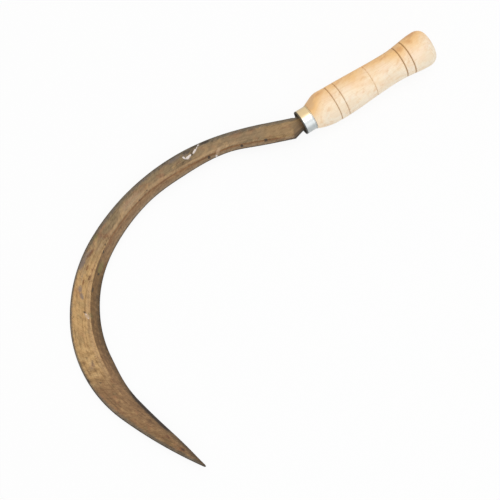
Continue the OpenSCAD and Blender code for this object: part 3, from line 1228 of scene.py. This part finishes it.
@dataclass
class Ferrule:
    """The ferrule: a short tube with a rounded front lip and a bead rolled at the rear.

    Sizes are in mm, and distances are counted from the front rim.

    Attributes:
        diameter: Outer diameter.
        length: Length.
        wall: Wall.
        bead: Diameter of the bead.
        dent: Greatest depth of a dent.
        around: Number of points round the tube.
    """

    diameter: float = 24.2
    length: float = 11.7
    wall: float = 1.0
    bead: float = 0.9
    dent: float = 0.05
    around: int = 224

    def outline(self) -> np.ndarray:
        """Closed outline of the wall, as distance from the rim and radius.

        A half circle at the lip, the outer side, the bead, the rear edge and the bore.

        Returns:
            Points of the outline, once round.
        """
        lip_points, side_points, bead_points, bore_points = 15, 12, 17, 8
        out, bore = self.diameter / 2, self.diameter / 2 - self.wall
        half, bead = self.wall / 2, self.bead / 2
        a = np.radians(np.linspace(-90, 90, lip_points))
        lip = np.stack([half - half * np.cos(a), bore + half + half * np.sin(a)], -1)
        z = np.linspace(half + 0.3, self.length - self.bead - 0.35, side_points)
        side = np.stack([z, np.full(len(z), out)], -1)
        a = np.radians(np.linspace(165, -80, bead_points))
        rolled = [self.length - bead + bead * np.cos(a), out + bead * np.sin(a)]
        rolled = np.stack(rolled, -1)
        rolled = rolled[rolled[:, 1] >= out - 0.12]
        rear_z = self.length - np.array([0.02, 0, 0.12])
        rear = np.stack([rear_z, [out - 0.3, bore + 0.15, bore]], -1)
        z = np.linspace(self.length - 1, half + 0.3, bore_points)
        inside = np.stack([z, np.full(len(z), bore)], -1)
        return np.vstack([lip, side, rolled, rear, inside])

    def tube(self) -> RingStack:
        """Turns the outline round the axis.

        Faint dents sink the outside in low waves. Dirt and painted shade lie in the bore,
        on the lip, in the corner before the bead and on the rear edge. A painted warm
        reflection lies on the side away from the hook, and painted shade on both flanks.

        Returns:
            The rings, with the fields of the finish.
        """
        turn = 2 * np.pi * np.arange(self.around) / self.around
        out = self.diameter / 2
        z, r = (part[:, None] + 0 * turn for part in self.outline().T)
        dents = self.dent / 2 * (1 + waves(z, out * turn + 0 * z, 5, 14, 3))
        r = r - dents * (r > out - 0.05)
        rings = np.stack([-z, r * np.cos(turn), r * np.sin(turn)], -1)
        bore = 1 - ease(out - 0.6, out - 0.15, r)
        lip = 1 - ease(0.7, 1.25, z)
        corner = 0.6 * hump(self.length - self.bead - 0.1, 0.25, z)
        rear = 0.7 * ease(self.length - 0.25, self.length, z)
        side = np.cos(turn) + 0 * z
        fields = {
            # Dirt and painted shade in the bore, on the lip, before the bead and at the
            # rear edge
            "grime": np.max([bore, lip, corner, rear], axis=0),
            # Painted warm reflection on the side away from the hook
            "yellowed": ease(-0.6, 0.36, -side),
            # Painted shade on both flanks, stronger on the hook's side
            "lee": np.maximum(ease(0.6, 1.0, side), 0.6 * ease(0.5, 0.9, -side)),
        }
        places = np.stack([z, out * side, out * np.sin(turn) + 0 * z], -1)
        return RingStack(rings, Ends.JOINED, "turned", places, fields)

    def make(self, pose: BenchPose) -> None:
        """Builds the ferrule and dresses it."""
        piece = self.tube().build("drawn_ferrule", pose, 45)
        enter(piece, "ferrule", DRAWN_ALUMINIUM_TUBE)


# ---- handle ------------------------------------------------------------------------------


@dataclass
class Handle:
    """The turned handle: nose, shoulder, swell, waist, pommel, grooves and socket.

    Sizes are in mm, and distances are counted from the ferrule's front rim.
    """

    # The ferrule that the nose fills, and the blade whose tang the socket takes
    ferrule: Ferrule
    blade: Blade
    length: float = 145
    # The shoulder: its step over the ferrule, and its length up to the swell
    shoulder_step: float = 0.4
    shoulder_len: float = 17
    swell_d: float = 35
    swell_len: float = 8
    waist_d: float = 30.5
    # The rise from the waist, and the pommel with its rounding and its flat face
    flare_len: float = 35
    pommel_d: float = 36.5
    pommel_round: float = 9
    pommel_face_d: float = 23
    # The grooves: width, how far the pairs lie from the swell and from the face, the gap
    # in a pair, and where the middle one lies between the pairs, as a share
    groove_w: float = 1.2
    front_pair_from_swell: float = 3.4
    rear_pair_from_face: float = 29.6
    pair_gap: float = 8.6
    middle_share: float = 0.49
    # The nose: how far behind the rim it ends, and its clearances in and behind the ferrule
    nose_setback: float = 2
    nose_fit: float = 0.1
    seat_fit: float = 0.1
    # The socket: clearance round the tang, and the pilot hole's diameter and spare length
    socket_fit: float = 0.15
    pilot_d: float = 6
    pilot_spare: float = 6
    # How dark each groove is burnt, from the front, and how far its burn and scorch reach
    burns: tuple[float, ...] = (0.72, 0.66, 0.45, 0.95, 0.95)
    burn_reach: float = 0.42
    scorch_reach: float = 0.95
    # Darker patches of the figure: distance from the rim, angle round the axis in degrees,
    # half length, half breadth and strength
    curls: tuple[tuple[float, float, float, float, float], ...] = (
        (27, 129, 7, 5, 0.7), (49, 128, 9, 4, 0.5), (81, 140, 5, 4, 0.6),
        (98, 124, 6, 3, 0.7), (115, 114, 5, 4, 0.75), (126, 118, 4.5, 4, 0.7),
        (132, 148, 8, 6, 0.8),
    )
    # Turning by eye: how far the wood strays inwards, the radius past which it does so in
    # full, and how far it is off its axis at distances from the rim
    wobble: float = 0.12
    wobble_full_r: float = 10
    drift: Table = (
        (0, 0), (15, 0), (24, -0.5), (32, 0), (44, 0.3), (56, 0.3), (80, 0.1), (110, 0),
        (145, 0),
    )
    # The billet: where its pith lies off the axis, across and down, the distance between
    # growth rings, and the radius past which the painted side shade is full
    pith: Span = (26, 22)
    ring_gap: float = 3.0
    side_shade_full_r: float = 13
    # Distances from the rim between which the wood's tone changes
    shoulder_golden: Span = (13, 25)
    waist_golden: Span = (95, 118)
    waist_until: Span = (150, 132)
    pommel_pales: Span = (127, 139)
    # Radii that turn an angle into a distance round the wood, and the points of a ring
    mean_r: float = 14
    outer_r: float = 16
    around: int = 176

    def grip_at(self) -> float:
        """Distance from the rim to the middle of the grip."""
        return (self.ferrule.length + self.length) / 2

    def swell_from(self) -> float:
        """Distance from the rim to the swell."""
        return self.ferrule.length + self.shoulder_len

    def pommel_at(self) -> float:
        """Distance from the rim to where the pommel rounds off."""
        return self.length - self.pommel_round

    def grooves(self) -> np.ndarray:
        """Works out where the five grooves are: two, one and two.

        Returns:
            Distance of each from the rim.
        """
        front = self.swell_from() + self.swell_len + self.front_pair_from_swell
        rear = self.length - self.rear_pair_from_face
        half, middle = self.pair_gap / 2, front + (rear - front) * self.middle_share
        return np.array([front - half, front + half, middle, rear - half, rear + half])

    def radius(self, z: np.ndarray) -> np.ndarray:
        """Radius of the plain wood.

        A quarter sine from the shoulder to the swell, the swell, half a cosine down to the
        waist, half a cosine up to the pommel, and a quarter ellipse to the face.

        Args:
            z: Distances from the rim.

        Returns:
            Radius at each.
        """
        shoulder_d = self.ferrule.diameter + 2 * self.shoulder_step
        swell_to = self.swell_from() + self.swell_len
        waist_at = self.pommel_at() - self.flare_len
        u = part_way(self.ferrule.length, self.shoulder_len, z)
        d = shoulder_d + (self.swell_d - shoulder_d) * np.sin(np.pi / 2 * u)
        u = part_way(swell_to, waist_at - swell_to, z)
        d += (self.waist_d - self.swell_d) * (1 - np.cos(np.pi * u)) / 2
        u = part_way(waist_at, self.flare_len, z)
        d += (self.pommel_d - self.waist_d) * (1 - np.cos(np.pi * u)) / 2
        u = part_way(self.pommel_at(), self.pommel_round, z)
        d -= (self.pommel_d - self.pommel_face_d) * (1 - np.sqrt(1 - u * u))
        return d / 2

    def outer(self) -> tuple[np.ndarray, np.ndarray]:
        """Outline of the outside, from the nose's face to the middle of the pommel.

        A groove is cut to sqrt((w / 2)^2 - d^2) - w / 10 at distance d from its middle.

        Returns:
            Distances from the rim, and radii.
        """
        nose_r = self.ferrule.diameter / 2 - self.ferrule.wall - self.nose_fit
        seat = self.ferrule.length + self.seat_fit
        # The nose's rings, and how far the first two are rounded in
        nose_z = self.nose_setback + np.array([0.0, 0.15, 0.5, 2.0, 4.5, 7.0, 9.0])
        nose_in = np.array([0.5, 0.3, 0, 0, 0, 0, 0])
        # Rings a pitch apart on the plain wood, and closer together at each groove
        pitch, groove_rings, reach = 0.62, 17, 0.9
        plain = np.arange(seat + 0.5, self.pommel_at(), pitch)
        plain = plain[np.abs(plain[:, None] - self.grooves()).min(1) > reach + 0.1]
        near = (self.grooves()[:, None] + np.linspace(-reach, reach, groove_rings)).ravel()
        wood_z = np.sort(np.concatenate([plain, near]))
        away = np.abs(wood_z[:, None] - self.grooves()).min(1)
        cut = np.sqrt(np.maximum((self.groove_w / 2) ** 2 - away**2, 0))
        wood_r = self.radius(wood_z) - np.maximum(cut - self.groove_w / 10, 0)
        over = np.sin(np.radians(np.linspace(0, 90, 26)))
        round_z = self.pommel_at() + self.pommel_round * over
        face_r = np.linspace(self.pommel_face_d / 2, CAP_R, 16)[1:]
        shoulder = self.radius(np.array([seat]))[0]
        seat_z = seat + np.array([0, 0, 0, 0.2])
        seat_r = [nose_r, (nose_r + shoulder) / 2, shoulder - 0.25, shoulder - 0.02]
        z = [nose_z, seat_z, wood_z, round_z, np.full(len(face_r), self.length)]
        r = [nose_r - nose_in, seat_r, wood_r, self.radius(round_z), face_r]
        return np.concatenate(z), np.concatenate(r)

    def socket(self, turn: np.ndarray) -> tuple[np.ndarray, np.ndarray]:
        """Socket for the tang, from its hidden end to the nose's face.

        At each distance the radius is the larger of the pilot hole's and that of the slot,
        min(a / |cos|, b / |sin|) for the slot's half width a and half height b.

        Args:
            turn: Angles round the axis.

        Returns:
            Distances from the rim, and radii, rings by points.
        """
        tang, pilot = self.blade, self.pilot_d / 2
        end = tang.tang_len + self.pilot_spare
        tapered = np.linspace(tang.tang_len + 0.5, self.nose_setback, 26)
        z = np.concatenate([[end, end, end - 0.5], tapered])
        u = np.clip(1 - z / tang.tang_len, 0, 1)[:, None]
        a, b = (size / 2 + self.socket_fit for size in tang.tang_size(u))
        c, s = (np.maximum(np.abs(part), 1e-6) for part in (np.cos(turn), np.sin(turn)))
        slot = np.minimum(a / c, b / s) * (z < tang.tang_len)[:, None]
        radii = np.maximum(slot, pilot)
        radii[0], radii[1] = CAP_R, pilot - 0.3
        return z, radii

    def tones(
        self,
        turn: np.ndarray,
        z: np.ndarray,
        r: np.ndarray,
        y: np.ndarray,
        outside: np.ndarray,
    ) -> Fields:
        """Fields that the finish lays its tones by.

        The side away from the hook is painted golden and darker as warm shade, and the
        hook's side paler as painted light. The wood is also golden on the shoulder and from
        the waist on, and paler at the pommel's end. The growth rings are circles round the
        pith.

        Args:
            turn: Angle round the axis of each point.
            z: Distance from the rim.
            r: Radius.
            y: Distance to the hook's side.
            outside: Whether the point's ring is on the outside.

        Returns:
            The fields by name.
        """
        girth = self.mean_r * turn + 0 * z
        gap = z[..., None] - self.grooves()
        burns = np.array(self.burns)
        from_pith = np.hypot(y + self.pith[0], r * np.sin(turn) + self.pith[1])
        from_pith += 1.5 * waves(z, girth, 40, 120, 9)
        waist = 0.25 * ease(*self.waist_golden, z) * ease(*self.waist_until, z)
        golden = 0.5 * (1 - ease(*self.shoulder_golden, z))
        golden = golden + waist * ease(0.7, -0.2, np.cos(turn))
        golden = golden - 0.45 * ease(*self.pommel_pales, z)
        patches = 0.22 * waves(z, girth, 22, 60, 31)
        curl = 0.26 * ease(0.1, 0.7, waves(z, girth, 9, 26, 13))
        for at, side, along, across, strength in self.curls:
            spread = across / self.outer_r
            near = hump(at, along, z) * hump(math.radians(side), spread, turn)
            curl = np.maximum(curl, strength * near)
        return {
            # Painted shade and light by side, plus the wood's own tone along the length
            "heart": golden - np.cos(turn) * np.minimum(r / self.side_shade_full_r, 1) + patches,
            "curl": curl * outside,
            "ring": np.sin(2 * np.pi * from_pith / self.ring_gap),
            "burn": (burns * hump(0, self.burn_reach, gap)).max(-1) * outside,
            "scorch": (burns * hump(0, self.scorch_reach, gap)).max(-1) * outside,
            # Dirt and painted shade on the wood inside the ferrule
            "dirt": 1 - ease(self.nose_setback, self.ferrule.length + 1.2, z),
        }

    def skin(self) -> RingStack:
        """Computes the skin as one stack of rings.

        It goes up the socket, across the nose's face, over the outside and to the middle
        of the pommel. The outside is a little shy of the plain turned shape, in long
        waves.

        Returns:
            The rings, with the fields of the finish.
        """
        turn = 2 * np.pi * np.arange(self.around) / self.around
        in_z, in_r = self.socket(turn)
        out_z, out_r = self.outer()
        q = np.array([0.2, 0.5, 0.8])[:, None]
        z = np.concatenate([in_z, np.full(len(q), self.nose_setback), out_z])
        z = z[:, None] + 0 * turn
        outside = np.arange(len(z))[:, None] >= len(in_z) + len(q)
        wood = ease(self.ferrule.length, self.ferrule.length + 8, z) * outside
        out_r = out_r[:, None] + 0 * turn
        r = np.concatenate([in_r, in_r[-1] + (out_r[0] - in_r[-1]) * q, out_r])
        stray = self.wobble / 2 * (1 + waves(z, self.mean_r * turn + 0 * z, 30, 80, 21))
        r = r - wood * stray * np.minimum(r / self.wobble_full_r, 1)
        stations, offsets = np.array(self.drift).T
        y = r * np.cos(turn) + smooth_through(stations, offsets, z) * wood
        rings = np.stack([-z, y, r * np.sin(turn)], -1)
        fields = self.tones(turn, z, r, y, outside)
        return RingStack(rings, Ends.CAPPED, "billet", rings.copy(), fields)

    def make(self, pose: BenchPose) -> None:
        """Builds the handle and dresses it."""
        piece = self.skin().build("turned_handle", pose, 40)
        enter(piece, "handle", TURNED_BIRCH)


# ---- studio ------------------------------------------------------------------------------


@dataclass(frozen=True)
class Lamp:
    """A square softbox.

    Attributes:
        name: Its name.
        place: Where it hangs, m.
        size: Its side, m.
        power: Its power, W.
    """

    name: str
    place: tuple[float, float, float]
    size: float
    power: float


@dataclass(frozen=True)
class Studio:
    """Pale floor, soft light and the camera.

    Attributes:
        floor_z: Height of the floor, m.
        floor_half: Half of its side, m.
        centre: What the lamps point at, m.
        camera_at: Place of the camera, m.
        camera_turn: Its tilt and its heading, degrees.
        lens, sensor: Focal length and the sensor's width, mm.
        far: How far the camera sees, m.
        ambient: Strength of the world's light.
        paper: Colour of the floor.
        white_seen: Share of plain white in what the camera sees of the floor.
        white_mirrored: The same for what gloss mirrors of it.
        lamps: The softboxes.
    """

    floor_z: float
    floor_half: float = 6.0
    centre: tuple[float, float, float] = (0.15, 0.09, 0.0)
    camera_at: tuple[float, float, float] = (0.340035, 0.328743, 1.174266)
    camera_turn: tuple[float, float] = (14.0, 148.0)
    lens: float = 94.68
    sensor: float = 36
    far: float = 20
    ambient: float = 0.7
    paper: str = "#f0f0f0"
    white_seen: float = 0.9
    white_mirrored: float = 0.5
    lamps: tuple[Lamp, ...] = (
        Lamp("overhead", (-0.05, 0.1, 1.5), 1.1, 7.6),
        Lamp("side_fill", (0.35, 1.5, 0.7), 1.0, 1.8),
    )

    def seen(
        self, tree: bpy.types.NodeTree, direct: float, mirrored: float
    ) -> bpy.types.Node:
        """Adds nodes that tell the rays that see the background from those that light.

        Args:
            tree: Node tree that takes the nodes.
            direct: Value for camera and transmission rays.
            mirrored: Value for glossy rays.

        Returns:
            The last node, which gives 0 for all other rays.
        """
        path = add(tree, "ShaderNodeLightPath").outputs
        through = {0: path["Is Camera Ray"], 1: path["Is Transmission Ray"]}
        through = add(tree, "ShaderNodeMath", through, operation="MAXIMUM")
        through = add(tree, "ShaderNodeMath", {0: through, 1: direct}, operation="MULTIPLY")
        gloss = {0: path["Is Glossy Ray"], 1: mirrored, 2: through}
        return add(tree, "ShaderNodeMath", gloss, operation="MULTIPLY_ADD")

    def make_floor(self) -> None:
        """Makes the floor: pale for the light, white for the eye, with a faint shadow."""
        half = self.floor_half
        mesh = bpy.data.meshes.new("floor")
        corners = [(-half, -half), (half, -half), (half, half), (-half, half)]
        mesh.from_pydata([(x, y, self.floor_z) for x, y in corners], [], [(0, 1, 2, 3)])
        floor = add_object("floor", mesh)
        material = bpy.data.materials.new("pale_paper")
        tree = bare_tree(material)
        matt = add(tree, "ShaderNodeBsdfDiffuse", {"Color": hex_to_linear(self.paper)})
        white = add(tree, "ShaderNodeEmission", {"Strength": 1.0})
        share = self.seen(tree, self.white_seen, self.white_mirrored)
        both = add(tree, "ShaderNodeMixShader", {0: share, 1: matt, 2: white})
        add(tree, "ShaderNodeOutputMaterial", {"Surface": both})
        mesh.materials.append(material)

    def make_world(self) -> None:
        """Makes the world: even white light, and white where it is seen."""
        world = bpy.data.worlds.new("studio")
        tree = bare_tree(world)
        more = self.seen(tree, 1 - self.ambient, 1 - self.ambient)
        strength = add(tree, "ShaderNodeMath", {0: more, 1: self.ambient}, operation="ADD")
        sky = {"Color": hex_to_linear("#ffffff"), "Strength": strength}
        sky = add(tree, "ShaderNodeBackground", sky)
        add(tree, "ShaderNodeOutputWorld", {"Surface": sky})
        bpy.context.scene.world = world

    def make_lamps(self) -> None:
        """Hangs the lamps, each turned towards the tool."""
        for lamp in self.lamps:
            light = bpy.data.lights.new(lamp.name, "AREA")
            light.size = lamp.size
            light.energy = lamp.power
            holder = add_object(lamp.name, light)
            x, y, z = (a - b for a, b in zip(lamp.place, self.centre))
            holder.location = lamp.place
            holder.rotation_euler = (math.atan2(math.hypot(x, y), z), 0, math.atan2(x, -y))

    def make_camera(self) -> None:
        """Sets up the camera at the photograph's viewing angle."""
        data = bpy.data.cameras.new("camera")
        data.lens = self.lens
        data.sensor_width = self.sensor
        data.clip_end = self.far
        camera = add_object("camera", data)
        tilt, heading = (math.radians(a) for a in self.camera_turn)
        camera.location = self.camera_at
        camera.rotation_euler = (tilt, 0, heading)
        bpy.context.scene.camera = camera

    def make(self) -> None:
        """Makes the floor, the world, the lamps and the camera."""
        self.make_floor()
        self.make_world()
        self.make_lamps()
        self.make_camera()
        bpy.context.scene.view_settings.view_transform = "Standard"


def main() -> None:
    """Builds the tool and its studio."""
    logging.basicConfig(level=logging.INFO, format="%(message)s")
    blade = Blade()
    ferrule = Ferrule()
    handle = Handle(ferrule, blade)
    pose = blade.pose(handle.grip_at(), handle.swell_from(), handle.swell_d)
    LOG.info("lies at %.3f degrees about %.3f degrees", pose.lie, pose.heading)
    blade.make(pose)
    ferrule.make(pose)
    handle.make(pose)
    Studio(floor_z=CAD_BOX[0][2]).make()


if __name__ == "__main__":
    main()
